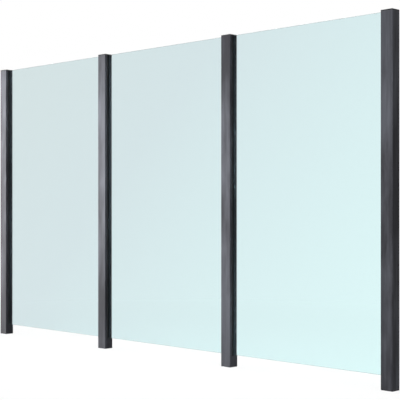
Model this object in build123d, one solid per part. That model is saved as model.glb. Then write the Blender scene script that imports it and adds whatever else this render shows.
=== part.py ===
from build123d import *
import os

# Layout of the fence, in millimetres
bay_count = 3
bay_pitch = 1100.0

# Post extrusion, wider along the fence than it is deep
post_width = 70.0
post_depth = 60.0
post_wall = 3.0
post_corner_radius = 1.5
post_inner_radius = 1.0

# Glazing channel: its mouth, the undercut behind its lips, its depth and the walls round it
front_lip = 16.0
channel_lip = 3.0
channel_undercut = 1.5
channel_depth = 18.0
channel_wall = 2.5

# Screw ports on the front and back walls, for the cap screws
port_drill = 4.6
port_boss = 10.0
port_slit = 2.5
port_inset = 4.5

# Glass panes
glass_thickness = 8.0
glass_height = 1800.0
glass_bite = 14.0
glass_arris = 1.0
glass_corner_cut = 3.0
ground_gap = 69.0
head_gap = 1.0

# Glazing gaskets, thick before the pane and thin behind it
front_gasket = 9.0
back_gasket = 1.5
gasket_reach = 12.0
gasket_land = 2.5
gasket_relief = 0.6
gasket_hook = 4.0
gasket_taper = 0.5
gasket_crown = 1.0

# Setting pads and the infills that carry them
pad_thickness = 6.0
infill_wall = 2.5
infill_clearance = 0.3

# Caps
cap_thickness = 5.0
cap_edge = 1.0
cap_screw_hole = 5.5
cap_screw_head = 10.4
cap_screw_angle = 90.0
tongue_length = 8.0
tongue_thickness = 3.0
tongue_clearance = 0.3
tongue_port_gap = 1.5
tongue_corner_gap = 2.0

# Foot plates
foot_thickness = 8.0
foot_bolt_drill = 6.8
foot_bolt_spacing_x = 46.0

# Places worked out from the sizes above
half_width = post_width / 2
half_depth = post_depth / 2
cavity_x = half_width - post_wall
cavity_y = half_depth - post_wall
glass_half = glass_thickness / 2
mouth_front = front_lip - half_depth
glass_y = mouth_front + front_gasket + glass_half
mouth_back = glass_y + glass_half + back_gasket
channel_front = mouth_front - channel_undercut
channel_back = mouth_back + channel_undercut
tube_bottom = foot_thickness
tube_top = ground_gap + glass_height + head_gap
infill_top = ground_gap - pad_thickness
glass_width = bay_pitch - post_width + 2 * glass_bite
port_y = cavity_y - port_inset
port_places = ((0, -port_y), (0, port_y))
foot_bolt_y = (cavity_y + channel_wall - channel_front) / 2


def post_x(number):
    return (number - 1) * bay_pitch


def channel_sides(number):
    """Directions along X in which this post has a glazing channel."""
    sides = []
    if number > 1:
        sides.append(-1)
    if number <= bay_count:
        sides.append(1)
    return sides


def block(side, near, far, front, back, mode=Mode.ADD):
    """Rectangle of a section, between two depths below a post's side and from a front to a back."""
    middle_x = side * (half_width - (near + far) / 2)
    with Locations((middle_x, (front + back) / 2)):
        Rectangle(far - near, back - front, mode=mode)


def post_profile(sides):
    walls = channel_depth + channel_wall
    with BuildSketch() as profile:
        RectangleRounded(post_width, post_depth, post_corner_radius)
        RectangleRounded(2 * cavity_x, 2 * cavity_y, post_inner_radius, mode=Mode.SUBTRACT)
        for side in sides:
            block(side, post_wall / 2, walls, channel_front - channel_wall, channel_back + channel_wall)
            block(side, 0, channel_depth, mouth_front, mouth_back, Mode.SUBTRACT)
            block(side, channel_lip, channel_depth, channel_front, channel_back, Mode.SUBTRACT)
        with Locations(*port_places):
            Circle(port_boss / 2)
            Circle(port_drill / 2, mode=Mode.SUBTRACT)
        with GridLocations(0, 2 * port_y - port_boss, 1, 2):
            Rectangle(port_slit, port_boss, mode=Mode.SUBTRACT)
    return profile.sketch


def raised(sketch, low, high):
    """The sketch as a prism standing between two heights."""
    return extrude(Pos(0, 0, low) * sketch, amount=high - low, dir=(0, 0, 1))


def make_post(number):
    tube = raised(post_profile(channel_sides(number)), tube_bottom, tube_top)
    return Pos(post_x(number), 0, 0) * tube


def make_cap(number):
    tongue_near = port_boss / 2 + tongue_port_gap
    tongue_far = cavity_x - tongue_corner_gap
    tongue_y = cavity_y - tongue_clearance - tongue_thickness / 2
    with BuildPart() as cap:
        with BuildSketch(Plane.XY.offset(tube_top)):
            RectangleRounded(post_width, post_depth, post_corner_radius)
        extrude(amount=cap_thickness)
        chamfer(cap.faces().sort_by(Axis.Z)[-1].edges(), cap_edge)
        with BuildSketch(Plane.XY.offset(tube_top)):
            with GridLocations(tongue_near + tongue_far, 2 * tongue_y, 2, 2):
                Rectangle(tongue_far - tongue_near, tongue_thickness)
        extrude(amount=-tongue_length)
        with Locations(Plane.XY.offset(tube_top + cap_thickness)):
            with Locations(*port_places):
                CounterSinkHole(cap_screw_hole / 2, cap_screw_head / 2, cap_thickness, cap_screw_angle)
    return Pos(post_x(number), 0, 0) * cap.part


def make_foot(number):
    with BuildPart() as foot:
        with BuildSketch():
            RectangleRounded(post_width, post_depth, post_corner_radius)
            with GridLocations(foot_bolt_spacing_x, 2 * foot_bolt_y, 2, 2):
                Circle(foot_bolt_drill / 2, mode=Mode.SUBTRACT)
        extrude(amount=foot_thickness)
    return Pos(post_x(number), 0, 0) * foot.part


def make_glass(bay):
    middle = (post_x(bay) + post_x(bay + 1)) / 2
    with BuildPart() as pane:
        with BuildSketch(Plane.XZ.offset(-glass_half)) as outline:
            with Locations((0, ground_gap + glass_height / 2)):
                Rectangle(glass_width, glass_height)
            chamfer(outline.vertices(), glass_corner_cut)
        extrude(amount=glass_thickness)
        for face in (pane.faces().sort_by(Axis.Y)[0], pane.faces().sort_by(Axis.Y)[-1]):
            chamfer(face.edges(), glass_arris)
    return Pos(middle, glass_y, 0) * pane.part


def gasket_profile(side, face, thickness):
    """Section of one gasket: hooked behind the lip, with two lands on the glass and a round nose."""

    def spot(depth, out):
        return (side * (half_width - depth), glass_y + face * (glass_half + out))

    hook_end = channel_lip + gasket_hook
    hook_out = thickness + channel_undercut
    inner_land = gasket_reach - gasket_land
    with BuildSketch() as profile:
        with BuildLine():
            Polyline(
                spot(0, 0),
                spot(gasket_land, 0),
                spot(gasket_land + gasket_relief, gasket_relief),
                spot(inner_land - gasket_relief, gasket_relief),
                spot(inner_land, 0),
                spot(gasket_reach, 0),
                spot(gasket_reach, thickness - gasket_taper),
                spot(hook_end, hook_out),
                spot(channel_lip, hook_out),
                spot(channel_lip, thickness),
                spot(0, thickness),
            )
            ThreePointArc(
                spot(0, thickness),
                spot(-min(gasket_crown, thickness / 2), thickness / 2),
                spot(0, 0),
            )
        make_face()
    return profile.sketch


def make_gasket(number, side, face, thickness):
    strip = raised(gasket_profile(side, face, thickness), ground_gap, tube_top)
    return Pos(post_x(number), 0, 0) * strip


def filler_profile(side, hollow):
    """Section that fills the channel with a clearance, flush with the post's side."""
    back = channel_depth - infill_clearance
    shoulder = channel_lip + infill_clearance
    mouth = (mouth_front + infill_clearance, mouth_back - infill_clearance)
    inner = (channel_front + infill_clearance, channel_back - infill_clearance)
    with BuildSketch() as profile:
        block(side, 0, back, mouth[0], mouth[1])
        block(side, shoulder, back, inner[0], inner[1])
        if hollow:
            room = (mouth[0] + infill_wall, mouth[1] - infill_wall)
            block(side, infill_wall, back - infill_wall, room[0], room[1], Mode.SUBTRACT)
    return profile.sketch


def make_infill(number, side):
    filler = raised(filler_profile(side, True), tube_bottom, infill_top)
    return Pos(post_x(number), 0, 0) * filler


def make_pad(number, side):
    pad = raised(filler_profile(side, False), infill_top, ground_gap)
    return Pos(post_x(number), 0, 0) * pad


def write(name, shape):
    export_step(shape, os.path.join("parts", name + ".step"))


os.makedirs("parts", exist_ok=True)

for number in range(1, bay_count + 2):
    write(f"post_{number}", make_post(number))
    write(f"post_{number}_cap", make_cap(number))
    write(f"post_{number}_foot", make_foot(number))

for bay in range(1, bay_count + 1):
    write(f"glass_{bay}", make_glass(bay))
    for end, number, side in (("left", bay, 1), ("right", bay + 1, -1)):
        write(f"infill_{bay}_{end}", make_infill(number, side))
        write(f"setting_pad_{bay}_{end}", make_pad(number, side))
        write(f"gasket_{bay}_{end}_front", make_gasket(number, side, -1, front_gasket))
        write(f"gasket_{bay}_{end}_back", make_gasket(number, side, 1, back_gasket))
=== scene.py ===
import bpy
import math
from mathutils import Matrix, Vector


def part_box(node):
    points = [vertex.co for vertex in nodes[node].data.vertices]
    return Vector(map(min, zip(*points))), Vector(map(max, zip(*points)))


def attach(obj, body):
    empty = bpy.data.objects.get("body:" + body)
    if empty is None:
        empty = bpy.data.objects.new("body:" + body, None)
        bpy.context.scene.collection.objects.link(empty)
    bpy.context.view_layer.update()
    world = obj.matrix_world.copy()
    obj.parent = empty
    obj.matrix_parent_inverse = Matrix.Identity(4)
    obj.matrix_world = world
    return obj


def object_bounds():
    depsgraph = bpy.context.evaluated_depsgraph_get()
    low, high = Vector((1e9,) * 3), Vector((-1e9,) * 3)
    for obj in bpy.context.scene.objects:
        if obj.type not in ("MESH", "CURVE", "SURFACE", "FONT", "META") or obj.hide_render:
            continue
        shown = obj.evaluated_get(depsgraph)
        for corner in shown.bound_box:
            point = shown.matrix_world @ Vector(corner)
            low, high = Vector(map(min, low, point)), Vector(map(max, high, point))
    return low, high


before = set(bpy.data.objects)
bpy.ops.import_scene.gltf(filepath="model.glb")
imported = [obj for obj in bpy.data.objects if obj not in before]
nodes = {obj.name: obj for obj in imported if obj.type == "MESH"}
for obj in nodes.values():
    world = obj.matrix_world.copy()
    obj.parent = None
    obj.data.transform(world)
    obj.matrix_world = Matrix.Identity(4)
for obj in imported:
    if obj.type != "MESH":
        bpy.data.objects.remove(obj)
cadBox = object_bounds()
firstLow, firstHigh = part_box("post_1")
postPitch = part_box("post_2")[0].x - firstLow.x
print("frame loaded,", len(nodes), "nodes")


# Helpers

# nearly all values of a noise texture lie between these two
noiseLow, noiseHigh = 0.3, 0.7

# the Mix and Random Value nodes repeat their socket names for each data type, so these go by number
mixFactor, mixFirst, mixSecond, mixResult = 0, 6, 7, 2
randomLeast, randomMost, randomResult = 2, 3, 1


def linear(hexText):
    # sRGB hex to the linear values that the shaders take
    values = [int(hexText[i:i + 2], 16) / 255 for i in (1, 3, 5)]
    return tuple(v / 12.92 if v <= 0.04045 else ((v + 0.055) / 1.055) ** 2.4 for v in values) + (1.0,)


def addNode(tree, kind, settings=None, inputs=None):
    # inputs holds plain values, or sockets to link from
    node = tree.nodes.new(kind)
    for name, value in (settings or {}).items():
        setattr(node, name, value)
    for name, value in (inputs or {}).items():
        if isinstance(value, bpy.types.NodeSocket):
            tree.links.new(value, node.inputs[name])
        else:
            node.inputs[name].default_value = value
    return node


def newMaterial(name):
    # place is the node whose Object output says where on the fence a point is
    material = bpy.data.materials.new(name)
    material.use_nodes = True
    tree = material.node_tree
    tree.nodes.clear()
    place = addNode(tree, "ShaderNodeTexCoord")
    return material, tree, place


def giveMaterial(names, material):
    for name in names:
        for materialSlot in nodes[name].material_slots:
            materialSlot.material = material


def pickNodes(*words):
    return sorted(name for name in nodes if any(word in name for word in words))


def whereSeen(tree):
    # 1 for what the camera, a reflection or a pane shows, and 0 for what only gives light
    rays = addNode(tree, "ShaderNodeLightPath")
    direct = addNode(tree, "ShaderNodeMath", {"operation": "MAXIMUM"}, {
        0: rays.outputs["Is Camera Ray"], 1: rays.outputs["Is Glossy Ray"]})
    seen = addNode(tree, "ShaderNodeMath", {"operation": "MAXIMUM"}, {
        0: direct.outputs[0], 1: rays.outputs["Is Transmission Ray"]})
    return seen.outputs[0]


# Posts, foot plates and infills: aluminium, anodised anthracite

postLook = {
    "darkToneAndReflection": "#1b1b1e",
    "lightToneAndReflection": "#2b2c30",
    "cloudLength": 0.979,       # metres along the post from one cloud to the next
    "cloudWidth": 0.221,        # and from one face of the post to the other
    # the clouds are shifted so that their light and dark patches fall where the painted reflections go
    "reflectionCloudShift": (-18.8, -8.12, 18.48),
    "cloudDetail": 5.0,         # how finely the clouds break up into mottling
    "mottling": 0.65,           # and how strong it is
    "darkBelow": 0.416,         # noise value up to which a cloud is fully dark
    "lightAbove": 0.584,        # and from which it is fully light
    "drawLineWidth": 0.012,     # real draw lines are 0.3 mm wide, too fine to show here
    "drawLineLength": 0.25,
    "drawLineDepth": 0.00002,
    "drawLineDetail": 3.0,      # how finely the lines break up
    "drawLineBreaks": 0.6,      # and how strongly
    "drawLineTone": 0.25,       # how much lighter or darker than the clouds a line is at most
    "rubbedEdgeAndHighlight": "#6d7178",
    "rubWidth": 0.0016,
    "rubbed": 0.2,              # how much of the edge is lightened at most, partly as rubbed wear and partly as a painted highlight
    "roughness": 0.55,
    "roughnessSpread": 0.04,    # dark clouds are this much rougher, light ones smoother
    "drawn": 0.4,               # how much wider the sheen spreads across the draw lines than along them
}

# a dark metal with a broad satin sheen: cloudy and mottled, with drawn streaks along the extrusion; the
# light and dark clouds are partly the metal's mottled tone and partly painted reflection, set where the
# sheen's blotchy reflections and uneven light fall on the faces
anodised, tree, place = newMaterial("anthraciteAnodisedAluminium")
cloudScale = 1 / postLook["cloudWidth"]
cloudPlace = addNode(tree, "ShaderNodeMapping", inputs={
    "Vector": place.outputs["Object"], "Location": postLook["reflectionCloudShift"],
    "Scale": (cloudScale, cloudScale, 1 / postLook["cloudLength"])})
clouds = addNode(tree, "ShaderNodeTexNoise", inputs={
    "Vector": cloudPlace.outputs["Vector"], "Scale": 1.0,
    "Detail": postLook["cloudDetail"], "Roughness": postLook["mottling"]})
cloudRange = addNode(tree, "ShaderNodeMapRange", inputs={
    "Value": clouds.outputs["Fac"],
    "From Min": postLook["darkBelow"], "From Max": postLook["lightAbove"]})
lineScale = 1 / postLook["drawLineWidth"]
linePlace = addNode(tree, "ShaderNodeMapping", inputs={
    "Vector": place.outputs["Object"],
    "Scale": (lineScale, lineScale, 1 / postLook["drawLineLength"])})
drawLines = addNode(tree, "ShaderNodeTexNoise", inputs={
    "Vector": linePlace.outputs["Vector"], "Scale": 1.0,
    "Detail": postLook["drawLineDetail"], "Roughness": postLook["drawLineBreaks"]})
# painted reflection: the cloud colours lighten and darken the faces where the metal's blotchy reflections
# fall, over its mottled tone
toneAndReflectionColour = addNode(tree, "ShaderNodeMix", {"data_type": "RGBA"}, {
    mixFactor: cloudRange.outputs["Result"],
    mixFirst: linear(postLook["darkToneAndReflection"]), mixSecond: linear(postLook["lightToneAndReflection"])})
lineTone = addNode(tree, "ShaderNodeMapRange", inputs={
    "Value": drawLines.outputs["Fac"], "From Min": noiseLow, "From Max": noiseHigh,
    "To Min": 1 - postLook["drawLineTone"], "To Max": 1 + postLook["drawLineTone"]})
linedColour = addNode(tree, "ShaderNodeMix", {"data_type": "RGBA", "blend_type": "MULTIPLY"}, {
    mixFactor: 1.0, mixFirst: toneAndReflectionColour.outputs[mixResult], mixSecond: lineTone.outputs["Result"]})
# the arrises are where both x and y come near the outside of the post that a point is on; there the colour
# is lightened, partly as rubbed wear and partly as a painted highlight of the rounded edges
axes = addNode(tree, "ShaderNodeSeparateXYZ", inputs={0: place.outputs["Object"]})
ownX = addNode(tree, "ShaderNodeMath", {"operation": "WRAP"}, {
    0: axes.outputs["X"], 1: postPitch / 2, 2: -postPitch / 2})
sizeX = addNode(tree, "ShaderNodeMath", {"operation": "ABSOLUTE"}, {0: ownX.outputs[0]})
sizeY = addNode(tree, "ShaderNodeMath", {"operation": "ABSOLUTE"}, {0: axes.outputs["Y"]})
overX = addNode(tree, "ShaderNodeMath", {"operation": "SUBTRACT"}, {0: sizeX.outputs[0], 1: firstHigh.x})
overY = addNode(tree, "ShaderNodeMath", {"operation": "SUBTRACT"}, {0: sizeY.outputs[0], 1: firstHigh.y})
nearEdge = addNode(tree, "ShaderNodeMath", {"operation": "MINIMUM"}, {
    0: overX.outputs[0], 1: overY.outputs[0]})
edge = addNode(tree, "ShaderNodeMapRange", {"interpolation_type": "SMOOTHSTEP"}, {
    "Value": nearEdge.outputs[0], "From Min": -postLook["rubWidth"], "From Max": 0.0,
    "To Max": postLook["rubbed"]})
rubAndHighlight = addNode(tree, "ShaderNodeMath", {"operation": "MULTIPLY"}, {
    0: edge.outputs["Result"], 1: drawLines.outputs["Fac"]})
# painted highlight: the arrises are lightened, partly as rubbed wear
postColour = addNode(tree, "ShaderNodeMix", {"data_type": "RGBA"}, {
    mixFactor: rubAndHighlight.outputs[0],
    mixFirst: linedColour.outputs[mixResult], mixSecond: linear(postLook["rubbedEdgeAndHighlight"])})
postRoughness = addNode(tree, "ShaderNodeMapRange", inputs={
    "Value": clouds.outputs["Fac"], "From Min": noiseLow, "From Max": noiseHigh,
    "To Min": postLook["roughness"] + postLook["roughnessSpread"],
    "To Max": postLook["roughness"] - postLook["roughnessSpread"]})
lineBump = addNode(tree, "ShaderNodeBump", inputs={
    "Height": drawLines.outputs["Fac"], "Distance": postLook["drawLineDepth"], "Strength": 1.0})
acrossLines = addNode(tree, "ShaderNodeTangent", {"direction_type": "RADIAL", "axis": "Z"})
shader = addNode(tree, "ShaderNodeBsdfPrincipled", inputs={
    "Base Color": postColour.outputs[mixResult], "Metallic": 1.0,
    "Roughness": postRoughness.outputs["Result"], "Normal": lineBump.outputs["Normal"],
    "Anisotropic": postLook["drawn"], "Tangent": acrossLines.outputs[0]})
addNode(tree, "ShaderNodeOutputMaterial", inputs={"Surface": shader.outputs[0]})
postNames = [name for name in nodes if name[:-1] == "post_"]
giveMaterial(postNames + pickNodes("infill", "foot"), anodised)
print("post finish done")


# Caps: matt black powder coat

coatLook = {
    "colour": "#0d0d0e",
    "dustColour": "#1d1d1c",
    "dustPatches": 45.0,        # patches of dust to the metre
    "dustDetail": 4.0,          # how finely the patches break up
    "dustBreaks": 0.6,          # and how strongly
    "dustFrom": 0.45,           # noise value from which dust shows
    "dustFull": 0.8,            # and from which it hides the coat
    "grain": 0.0012,            # the coat's orange peel, from peak to peak
    "grainDepth": 0.00003,
    "grainDetail": 1.5,
    "roughness": 0.72,
    "roughnessSpread": 0.06,    # dusty places are this much rougher, clean ones smoother
    "specular": 0.14,
}

# nearly black and without shine, so it reads as a dark line against the metal
powderCoat, tree, place = newMaterial("mattBlackPowderCoat")
peel = addNode(tree, "ShaderNodeTexNoise", inputs={
    "Vector": place.outputs["Object"], "Scale": 1 / coatLook["grain"], "Detail": coatLook["grainDetail"]})
dust = addNode(tree, "ShaderNodeTexNoise", inputs={
    "Vector": place.outputs["Object"], "Scale": coatLook["dustPatches"],
    "Detail": coatLook["dustDetail"], "Roughness": coatLook["dustBreaks"]})
dustRange = addNode(tree, "ShaderNodeMapRange", inputs={
    "Value": dust.outputs["Fac"], "From Min": coatLook["dustFrom"], "From Max": coatLook["dustFull"]})
coatColour = addNode(tree, "ShaderNodeMix", {"data_type": "RGBA"}, {
    mixFactor: dustRange.outputs["Result"],
    mixFirst: linear(coatLook["colour"]), mixSecond: linear(coatLook["dustColour"])})
coatRoughness = addNode(tree, "ShaderNodeMapRange", inputs={
    "Value": dust.outputs["Fac"], "From Min": noiseLow, "From Max": noiseHigh,
    "To Min": coatLook["roughness"] - coatLook["roughnessSpread"],
    "To Max": coatLook["roughness"] + coatLook["roughnessSpread"]})
peelBump = addNode(tree, "ShaderNodeBump", inputs={
    "Height": peel.outputs["Fac"], "Distance": coatLook["grainDepth"], "Strength": 1.0})
shader = addNode(tree, "ShaderNodeBsdfPrincipled", inputs={
    "Base Color": coatColour.outputs[mixResult], "Roughness": coatRoughness.outputs["Result"],
    "Specular IOR Level": coatLook["specular"], "Normal": peelBump.outputs["Normal"]})
addNode(tree, "ShaderNodeOutputMaterial", inputs={"Surface": shader.outputs[0]})
giveMaterial(pickNodes("cap"), powderCoat)
print("cap finish done")


# Gaskets and setting pads: black EPDM rubber

rubberLook = {
    "colour": "#0a0a0b",
    "bloomColour": "#151515",
    "bloomPatches": 30.0,       # patches of bloom to the metre
    "bloomDetail": 4.0,
    "bloomFrom": 0.42,          # noise value from which bloom shows
    "bloomFull": 0.75,          # and from which it is as grey as it gets
    "ridge": 0.0015,            # fine ridges left by the extruder's die
    "ridgeLength": 0.5,
    "ridgeDepth": 0.00004,
    "ridgeDetail": 1.0,
    "roughness": 0.85,
    "specular": 0.1,
}

# dull black, with a slight grey bloom and fine ridges along the strip
rubber, tree, place = newMaterial("blackExtrudedRubber")
ridgeScale = 1 / rubberLook["ridge"]
ridgePlace = addNode(tree, "ShaderNodeMapping", inputs={
    "Vector": place.outputs["Object"],
    "Scale": (ridgeScale, ridgeScale, 1 / rubberLook["ridgeLength"])})
ridges = addNode(tree, "ShaderNodeTexNoise", inputs={
    "Vector": ridgePlace.outputs["Vector"], "Scale": 1.0, "Detail": rubberLook["ridgeDetail"]})
bloom = addNode(tree, "ShaderNodeTexNoise", inputs={
    "Vector": place.outputs["Object"], "Scale": rubberLook["bloomPatches"],
    "Detail": rubberLook["bloomDetail"]})
bloomRange = addNode(tree, "ShaderNodeMapRange", inputs={
    "Value": bloom.outputs["Fac"],
    "From Min": rubberLook["bloomFrom"], "From Max": rubberLook["bloomFull"]})
rubberColour = addNode(tree, "ShaderNodeMix", {"data_type": "RGBA"}, {
    mixFactor: bloomRange.outputs["Result"],
    mixFirst: linear(rubberLook["colour"]), mixSecond: linear(rubberLook["bloomColour"])})
ridgeBump = addNode(tree, "ShaderNodeBump", inputs={
    "Height": ridges.outputs["Fac"], "Distance": rubberLook["ridgeDepth"], "Strength": 1.0})
shader = addNode(tree, "ShaderNodeBsdfPrincipled", inputs={
    "Base Color": rubberColour.outputs[mixResult], "Roughness": rubberLook["roughness"],
    "Specular IOR Level": rubberLook["specular"], "Normal": ridgeBump.outputs["Normal"]})
addNode(tree, "ShaderNodeOutputMaterial", inputs={"Surface": shader.outputs[0]})
giveMaterial(pickNodes("gasket", "setting_pad"), rubber)
print("rubber done")


# Panes: toughened float glass with ground edges

glassLook = {
    "upperLeft": "#d1e0e1",     # what the white behind the pane turns to, high at the left end, where the painted reflection lightens the tint least
    "middle": "#d2e3e6",
    "lowerRight": "#ddfafa",    # the same, low at the right end, where the painted reflection lightens the tint most
    "slope": 1.09,              # the tint's painted gradient goes with x less this much of the height
    "from": -2.05,              # the upper left's colour lies where that comes to this
    "to": 3.2,                  # and the lower right's where it comes to this
    "middleAt": 0.4,            # share of the way between them where the middle colour lies
    "ior": 1.52,
    "edgeColour": "#9cc9bd",
    "edgeRoughness": 0.3,       # the edges are ground, the faces polished
    "faceAbove": 0.95,          # a point that looks this much to the front or back is on a face
    "edgeBelow": 0.6,           # and one that does so less than this is on an edge
    "wave": 0.28,               # roller wave of the toughening, from crest to crest
    "waveDepth": 0.00004,
}

# clear, with a pale blue-green tint that lightens slowly along the row and towards the bottom; that
# lightening is a painted soft reflection, not a change in the glass; the ground edges are greener and matt
glass, tree, place = newMaterial("toughenedFloatGlass")
axes = addNode(tree, "ShaderNodeSeparateXYZ", inputs={0: place.outputs["Object"]})
height = addNode(tree, "ShaderNodeMath", {"operation": "MULTIPLY"}, {
    0: axes.outputs["Z"], 1: glassLook["slope"]})
along = addNode(tree, "ShaderNodeMath", {"operation": "SUBTRACT"}, {
    0: axes.outputs["X"], 1: height.outputs[0]})
# painted reflection: the tint is lightened from the upper left to the lower right
paintedReflectionRange = addNode(tree, "ShaderNodeMapRange", inputs={
    "Value": along.outputs[0], "From Min": glassLook["from"], "From Max": glassLook["to"]})
tintWithPaintedReflection = addNode(tree, "ShaderNodeValToRGB", inputs={"Fac": paintedReflectionRange.outputs["Result"]})
tintWithPaintedReflection.color_ramp.elements[0].color = linear(glassLook["upperLeft"])
tintWithPaintedReflection.color_ramp.elements[1].color = linear(glassLook["lowerRight"])
tintWithPaintedReflection.color_ramp.elements.new(glassLook["middleAt"]).color = linear(glassLook["middle"])
facing = addNode(tree, "ShaderNodeSeparateXYZ", inputs={0: place.outputs["Normal"]})
flatness = addNode(tree, "ShaderNodeMath", {"operation": "ABSOLUTE"}, {0: facing.outputs["Y"]})
edgeShare = addNode(tree, "ShaderNodeMapRange", inputs={
    "Value": flatness.outputs[0],
    "From Min": glassLook["faceAbove"], "From Max": glassLook["edgeBelow"]})
glassColour = addNode(tree, "ShaderNodeMix", {"data_type": "RGBA"}, {
    mixFactor: edgeShare.outputs["Result"],
    mixFirst: tintWithPaintedReflection.outputs["Color"], mixSecond: linear(glassLook["edgeColour"])})
edgeMatt = addNode(tree, "ShaderNodeMath", {"operation": "MULTIPLY"}, {
    0: edgeShare.outputs["Result"], 1: glassLook["edgeRoughness"]})
rollerWave = addNode(tree, "ShaderNodeTexNoise", inputs={
    "Vector": place.outputs["Object"], "Scale": 1 / glassLook["wave"], "Detail": 0.0})
waveBump = addNode(tree, "ShaderNodeBump", inputs={
    "Height": rollerWave.outputs["Fac"], "Distance": glassLook["waveDepth"], "Strength": 1.0})
shader = addNode(tree, "ShaderNodeBsdfPrincipled", inputs={
    "Base Color": glassColour.outputs[mixResult], "Transmission Weight": 1.0, "IOR": glassLook["ior"],
    "Roughness": edgeMatt.outputs[0], "Normal": waveBump.outputs["Normal"]})
# a lamp's light passes both faces of the pane, so each face takes the square root of the tint
faceTint = addNode(tree, "ShaderNodeGamma", inputs={"Color": glassColour.outputs[mixResult], "Gamma": 0.5})
clear = addNode(tree, "ShaderNodeBsdfTransparent", inputs={"Color": faceTint.outputs["Color"]})
rays = addNode(tree, "ShaderNodeLightPath")
paneShader = addNode(tree, "ShaderNodeMixShader", inputs={
    0: rays.outputs["Is Shadow Ray"], 1: shader.outputs[0], 2: clear.outputs[0]})
addNode(tree, "ShaderNodeOutputMaterial", inputs={"Surface": paneShader.outputs[0]})
giveMaterial(pickNodes("glass"), glass)
print("glass done")


# Cap screws: stainless steel, countersunk with a hexagon socket

screwLook = {
    "colour": "#b8b9b7",
    "markColour": "#8f908e",
    "mark": 0.0004,             # the tool's marks on the head, from one to the next
    "markDetail": 2.0,
    "markBelow": 0.35,          # noise value up to which a point is in a mark
    "cleanAbove": 0.65,         # and from which it is between marks
    "roughness": 0.28,
    "markRougher": 0.08,
    "cleanSmoother": 0.05,
    "headDiameter": 0.0102,
    "shankDiameter": 0.0045,
    "length": 0.012,
    "socketWidth": 0.003,
    "socketDepth": 0.0016,
    "headSides": 40,
    "shankSides": 24,
    "shankBelow": 0.0005,       # the shank starts this far below the head's top, inside the head
    "belowTop": 0.0001,         # and the head lies this far below the cap's
    "fromEdge": 0.0075,         # from the cap's front or back edge to the middle of a screw
    "seed": 7,
}

# bright turned steel, the one light spot on the dark caps
steel, tree, place = newMaterial("stainlessSteelTurned")
marks = addNode(tree, "ShaderNodeTexNoise", inputs={
    "Vector": place.outputs["Object"], "Scale": 1 / screwLook["mark"], "Detail": screwLook["markDetail"]})
markRange = addNode(tree, "ShaderNodeMapRange", inputs={
    "Value": marks.outputs["Fac"], "From Min": screwLook["markBelow"], "From Max": screwLook["cleanAbove"]})
steelColour = addNode(tree, "ShaderNodeMix", {"data_type": "RGBA"}, {
    mixFactor: markRange.outputs["Result"],
    mixFirst: linear(screwLook["markColour"]), mixSecond: linear(screwLook["colour"])})
steelRoughness = addNode(tree, "ShaderNodeMapRange", inputs={
    "Value": marks.outputs["Fac"], "From Min": noiseLow, "From Max": noiseHigh,
    "To Min": screwLook["roughness"] + screwLook["markRougher"],
    "To Max": screwLook["roughness"] - screwLook["cleanSmoother"]})
shader = addNode(tree, "ShaderNodeBsdfPrincipled", inputs={
    "Base Color": steelColour.outputs[mixResult], "Metallic": 1.0,
    "Roughness": steelRoughness.outputs["Result"]})
addNode(tree, "ShaderNodeOutputMaterial", inputs={"Surface": shader.outputs[0]})

# one screw is built at the origin, its head's top at height 0, and set on every point
screwTree = bpy.data.node_groups.new("capScrewTree", "GeometryNodeTree")
screwTree.interface.new_socket("Points", in_out="INPUT", socket_type="NodeSocketGeometry")
screwSizes = {
    "Head Diameter": screwLook["headDiameter"],
    "Shank Diameter": screwLook["shankDiameter"],
    "Length": screwLook["length"],
    "Socket Width": screwLook["socketWidth"],
    "Socket Depth": screwLook["socketDepth"],
}
screwInputs = {}
for label, size in screwSizes.items():
    socket = screwTree.interface.new_socket(label, in_out="INPUT", socket_type="NodeSocketFloat")
    screwInputs[socket.identifier] = size
screwTree.interface.new_socket("Screws", in_out="OUTPUT", socket_type="NodeSocketGeometry")
given = addNode(screwTree, "NodeGroupInput")
headRadius = addNode(screwTree, "ShaderNodeMath", {"operation": "MULTIPLY"}, {
    0: given.outputs["Head Diameter"], 1: 0.5})
shankRadius = addNode(screwTree, "ShaderNodeMath", {"operation": "MULTIPLY"}, {
    0: given.outputs["Shank Diameter"], 1: 0.5})
headDepth = addNode(screwTree, "ShaderNodeMath", {"operation": "SUBTRACT"}, {
    0: headRadius.outputs[0], 1: shankRadius.outputs[0]})      # a head of 90 degrees
head = addNode(screwTree, "GeometryNodeMeshCone", inputs={
    "Vertices": screwLook["headSides"], "Radius Top": headRadius.outputs[0],
    "Radius Bottom": shankRadius.outputs[0], "Depth": headDepth.outputs[0]})
headDown = addNode(screwTree, "ShaderNodeMath", {"operation": "MULTIPLY"}, {
    0: headDepth.outputs[0], 1: -1.0})
headShift = addNode(screwTree, "ShaderNodeCombineXYZ", inputs={"Z": headDown.outputs[0]})
headPlaced = addNode(screwTree, "GeometryNodeTransform", inputs={
    "Geometry": head.outputs["Mesh"], "Translation": headShift.outputs[0]})
shank = addNode(screwTree, "GeometryNodeMeshCylinder", inputs={
    "Vertices": screwLook["shankSides"],
    "Radius": shankRadius.outputs[0], "Depth": given.outputs["Length"]})
shankDown = addNode(screwTree, "ShaderNodeMath", {"operation": "MULTIPLY_ADD"}, {
    0: given.outputs["Length"], 1: -0.5, 2: -screwLook["shankBelow"]})
shankShift = addNode(screwTree, "ShaderNodeCombineXYZ", inputs={"Z": shankDown.outputs[0]})
shankPlaced = addNode(screwTree, "GeometryNodeTransform", inputs={
    "Geometry": shank.outputs["Mesh"], "Translation": shankShift.outputs[0]})
blank = addNode(screwTree, "GeometryNodeMeshBoolean", {"operation": "UNION"})
for part in (headPlaced, shankPlaced):
    screwTree.links.new(part.outputs[0], blank.inputs["Mesh 2"])
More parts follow.
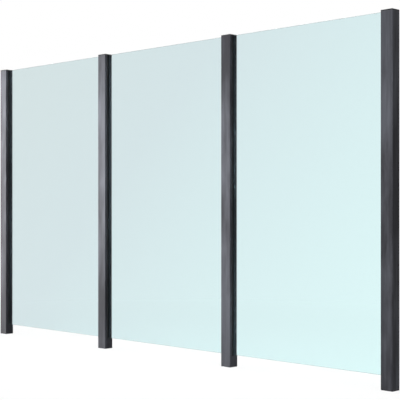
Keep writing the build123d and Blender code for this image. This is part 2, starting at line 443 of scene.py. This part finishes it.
socketRadius = addNode(screwTree, "ShaderNodeMath", {"operation": "DIVIDE"}, {
    0: given.outputs["Socket Width"], 1: math.sqrt(3)})        # across the flats to the corners
socketLength = addNode(screwTree, "ShaderNodeMath", {"operation": "MULTIPLY"}, {
    0: given.outputs["Socket Depth"], 1: 2.0})                 # half of it is above the head
socketBody = addNode(screwTree, "GeometryNodeMeshCylinder", inputs={
    "Vertices": 6, "Radius": socketRadius.outputs[0], "Depth": socketLength.outputs[0]})
screw = addNode(screwTree, "GeometryNodeMeshBoolean", {"operation": "DIFFERENCE"}, {
    "Mesh 1": blank.outputs["Mesh"]})
screwTree.links.new(socketBody.outputs["Mesh"], screw.inputs["Mesh 2"])
turn = addNode(screwTree, "FunctionNodeRandomValue", {"data_type": "FLOAT"}, {
    randomLeast: 0.0, randomMost: math.radians(60),            # after that a hexagon looks the same
    "Seed": screwLook["seed"]})
turnAxis = addNode(screwTree, "ShaderNodeCombineXYZ", inputs={"Z": turn.outputs[randomResult]})
placed = addNode(screwTree, "GeometryNodeInstanceOnPoints", inputs={
    "Points": given.outputs["Points"], "Instance": screw.outputs["Mesh"], "Rotation": turnAxis.outputs[0]})
real = addNode(screwTree, "GeometryNodeRealizeInstances", inputs={"Geometry": placed.outputs["Instances"]})
finished = addNode(screwTree, "GeometryNodeSetMaterial", inputs={
    "Geometry": real.outputs["Geometry"], "Material": steel})
addNode(screwTree, "NodeGroupOutput", inputs={"Screws": finished.outputs["Geometry"]})

screwPoints = []
for name in pickNodes("cap"):
    low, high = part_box(name)
    for y in (low.y + screwLook["fromEdge"], high.y - screwLook["fromEdge"]):
        screwPoints.append(((low.x + high.x) / 2, y, high.z - screwLook["belowTop"]))
pointMesh = bpy.data.meshes.new("capScrewPoints")
pointMesh.from_pydata(screwPoints, [], [])
screws = bpy.data.objects.new("cap_screws", pointMesh)
bpy.context.scene.collection.objects.link(screws)
builder = screws.modifiers.new("screws", "NODES")
builder.node_group = screwTree
for identifier, size in screwInputs.items():
    builder[identifier] = size
depsgraph = bpy.context.evaluated_depsgraph_get()
screwMesh = bpy.data.meshes.new_from_object(screws.evaluated_get(depsgraph), depsgraph=depsgraph)
screws.modifiers.clear()
screws.data = screwMesh
bpy.data.meshes.remove(pointMesh)
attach(screws, "root")
print("cap screws done,", len(screwMesh.polygons), "faces")


# Studio: floor, background and lamps

studioLook = {
    "floorColour": "#f6f6f6",
    "floorSize": 90.0,
    "nearWhite": 0.9,           # share of plain white in what is seen of the floor by the fence
    "whiteFrom": 1.6,           # metres from the row's middle where that share starts to grow
    "whiteAt": 4.0,             # and where the floor is plain white
    "ambient": 0.25,            # the background as a light
    "keyPower": 13800.0,        # the key lamp gives the posts' fronts their sheen
    "keyPlace": (-21.3, -13.7, 1.7),
    "keySize": (1.2, 3.3),
    "keyTarget": (1.0, 0.0, 1.0),
    "sidePower": 10500.0,       # the side lamp lights their right sides
    "sidePlace": (25.5, -10.5, 1.7),
    "sideSize": (3.0, 3.3),
    "sideTarget": (1.0, 0.0, 1.0),
    "topPower": 170.0,          # the top lamp lights the caps
    "topPlace": (1.2, -0.8, 5.0),
    "topSize": (5.0, 3.5),
    "topTarget": (1.63, 0.0, 0.0),
}
plainWhite = (1.0, 1.0, 1.0, 1.0)
rowMiddle = ((cadBox[0][0] + cadBox[1][0]) / 2, 0.0, 0.0)

floorMesh = bpy.data.meshes.new("studioFloor")
reach = studioLook["floorSize"] / 2
floorMesh.from_pydata([(-reach, -reach, 0), (reach, -reach, 0), (reach, reach, 0), (-reach, reach, 0)],
                      [], [(0, 1, 2, 3)])
floor = bpy.data.objects.new("studioFloor", floorMesh)
bpy.context.scene.collection.objects.link(floor)
# painted board: nearly white where it is seen, with the fence's soft shadow kept on it
board, tree, place = newMaterial("paleFloorBoard")
away = addNode(tree, "ShaderNodeVectorMath", {"operation": "DISTANCE"}, {
    0: place.outputs["Object"], 1: rowMiddle})
fade = addNode(tree, "ShaderNodeMapRange", {"interpolation_type": "SMOOTHSTEP"}, {
    "Value": away.outputs["Value"], "From Min": studioLook["whiteFrom"], "From Max": studioLook["whiteAt"],
    "To Min": studioLook["nearWhite"], "To Max": 1.0})
seen = whereSeen(tree)
whiteShare = addNode(tree, "ShaderNodeMath", {"operation": "MULTIPLY"}, {
    0: seen, 1: fade.outputs["Result"]})
paint = addNode(tree, "ShaderNodeBsdfDiffuse", inputs={"Color": linear(studioLook["floorColour"])})
white = addNode(tree, "ShaderNodeEmission", inputs={"Color": plainWhite, "Strength": 1.0})
floorShader = addNode(tree, "ShaderNodeMixShader", inputs={
    0: whiteShare.outputs[0], 1: paint.outputs[0], 2: white.outputs[0]})
addNode(tree, "ShaderNodeOutputMaterial", inputs={"Surface": floorShader.outputs[0]})
floorMesh.materials.append(board)

studio = bpy.data.worlds.new("studioWhite")
bpy.context.scene.world = studio
studio.use_nodes = True
tree = studio.node_tree
tree.nodes.clear()
seen = whereSeen(tree)
asLight = addNode(tree, "ShaderNodeBackground", inputs={
    "Color": plainWhite, "Strength": studioLook["ambient"]})
asSeen = addNode(tree, "ShaderNodeBackground", inputs={"Color": plainWhite, "Strength": 1.0})
worldShader = addNode(tree, "ShaderNodeMixShader", inputs={
    0: seen, 1: asLight.outputs[0], 2: asSeen.outputs[0]})
addNode(tree, "ShaderNodeOutputWorld", inputs={"Surface": worldShader.outputs[0]})

for name in ("key", "side", "top"):
    lamp = bpy.data.lights.new(name + "Softbox", "AREA")
    lamp.shape = "RECTANGLE"
    lamp.size, lamp.size_y = studioLook[name + "Size"]
    lamp.energy = studioLook[name + "Power"]
    softbox = bpy.data.objects.new(name + "Softbox", lamp)
    bpy.context.scene.collection.objects.link(softbox)
    softbox.location = studioLook[name + "Place"]
    aim = Vector(studioLook[name + "Target"]) - softbox.location
    softbox.rotation_euler = aim.to_track_quat("-Z", "Y").to_euler()
    softbox.visible_camera = False
    softbox.visible_transmission = False    # nor is a lamp seen through the panes from behind
print("studio done")


# Camera, level and to the right of the row

cameraLook = {
    "place": (6.3973, -4.3622, 0.9085),
    "turn": 45.461,             # degrees to the left of straight on
    "lens": 96.18,
    "sensor": 36.0,
    "shift": 0.0147,            # the frame's middle lies just above the horizon
}
cameraData = bpy.data.cameras.new("photoCamera")
cameraData.sensor_width = cameraLook["sensor"]
cameraData.lens = cameraLook["lens"]
cameraData.shift_y = cameraLook["shift"]
camera = bpy.data.objects.new("photoCamera", cameraData)
bpy.context.scene.collection.objects.link(camera)
camera.location = cameraLook["place"]
camera.rotation_euler = (math.radians(90), 0, math.radians(cameraLook["turn"]))
bpy.context.scene.camera = camera
bpy.context.scene.view_settings.view_transform = "Standard"
